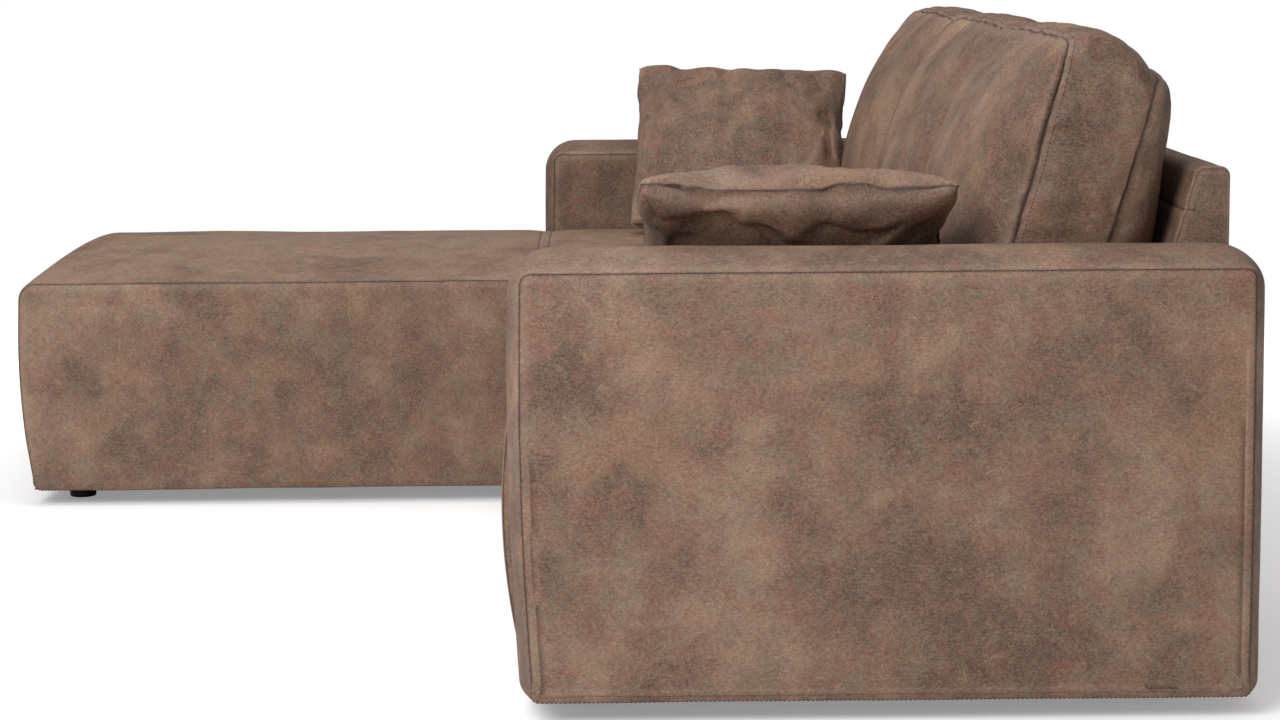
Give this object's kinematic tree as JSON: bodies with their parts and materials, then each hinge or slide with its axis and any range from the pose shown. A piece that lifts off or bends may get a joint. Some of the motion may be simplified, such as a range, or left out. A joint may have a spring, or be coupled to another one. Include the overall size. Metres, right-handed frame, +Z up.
{
  "type": "sectional sofa with chaise",
  "caption": "Sectional sofa: two-seat unit, long chaise, padded arms, low backrest, loose back and scatter cushions in distressed brown leatherette.",
  "frame": {"origin": "on the floor, under the middle of the sofa's outline", "axes": "+X along the sofa, to the right seen from the front, +Y to the back, +Z up"},
  "size_m": [2.578, 1.9896, 0.9055],
  "materials": {
    "leather_cover": "distressed brown leatherette with a faint sheen",
    "timber": "sawn pine",
    "board": "hardboard",
    "foam": "open cell foam",
    "filling": "fibre filling",
    "webbing": "elastic webbing",
    "felt": "needled felt",
    "dust_cloth": "black non-woven cloth",
    "foot": "black moulded plastic",
    "steel": "zinc plated"
  },
  "bodies": {
    "root": {"left_arm_frame": "timber", "left_arm_boards": "board", "left_arm_padding": "foam", "left_arm_cover": "leather_cover", "left_arm_dust_cover": "dust_cloth", "left_arm_feet": "foot", "left_arm_bolts": "steel", "left_arm_nuts": "steel", "right_arm_frame": "timber", "right_arm_boards": "board", "right_arm_padding": "foam", "right_arm_cover": "leather_cover", "right_arm_dust_cover": "dust_cloth", "right_arm_feet": "foot", "right_arm_bolts": "steel", "right_arm_nuts": "steel", "seat_frame": "timber", "seat_webbing": "webbing", "seat_felt": "felt", "seat_foam": "foam", "seat_cover": "leather_cover", "seat_dust_cover": "dust_cloth", "seat_feet": "foot", "seat_backrest_frame": "timber", "seat_backrest_padding": "foam", "seat_backrest_cover": "leather_cover", "seat_backrest_dust_cover": "dust_cloth", "chaise_frame": "timber", "chaise_webbing": "webbing", "chaise_felt": "felt", "chaise_foam": "foam", "chaise_cover": "leather_cover", "chaise_dust_cover": "dust_cloth", "chaise_feet": "foot", "chaise_backrest_frame": "timber", "chaise_backrest_padding": "foam", "chaise_backrest_cover": "leather_cover", "chaise_backrest_dust_cover": "dust_cloth", "joint_plates": "steel", "joint_screws": "steel"},
    "left_back_cushion": {"left_back_cushion_cover": "leather_cover", "left_back_cushion_filling": "filling"},
    "middle_back_cushion": {"middle_back_cushion_cover": "leather_cover", "middle_back_cushion_filling": "filling"},
    "right_back_cushion": {"right_back_cushion_cover": "leather_cover", "right_back_cushion_filling": "filling"},
    "left_scatter_cushion": {"left_scatter_cushion_cover": "leather_cover", "left_scatter_cushion_filling": "filling"},
    "right_scatter_cushion": {"right_scatter_cushion_cover": "leather_cover", "right_scatter_cushion_filling": "filling"}
  },
  "joints": [
    {"name": "left_back_cushion_lift", "type": "slide", "parent": "root", "child": "left_back_cushion", "axis": [0, 0, 1], "range_m": [0, 0.5]},
    {"name": "middle_back_cushion_lift", "type": "slide", "parent": "root", "child": "middle_back_cushion", "axis": [0, 0, 1], "range_m": [0, 0.5]},
    {"name": "right_back_cushion_lift", "type": "slide", "parent": "root", "child": "right_back_cushion", "axis": [0, 0, 1], "range_m": [0, 0.5]},
    {"name": "left_scatter_cushion_lift", "type": "slide", "parent": "root", "child": "left_scatter_cushion", "axis": [0, -0.25, 0.9682], "range_m": [0, 0.5]},
    {"name": "right_scatter_cushion_lift", "type": "slide", "parent": "root", "child": "right_scatter_cushion", "axis": [0, -0.25, 0.9682], "range_m": [0, 0.5]}
  ]
}
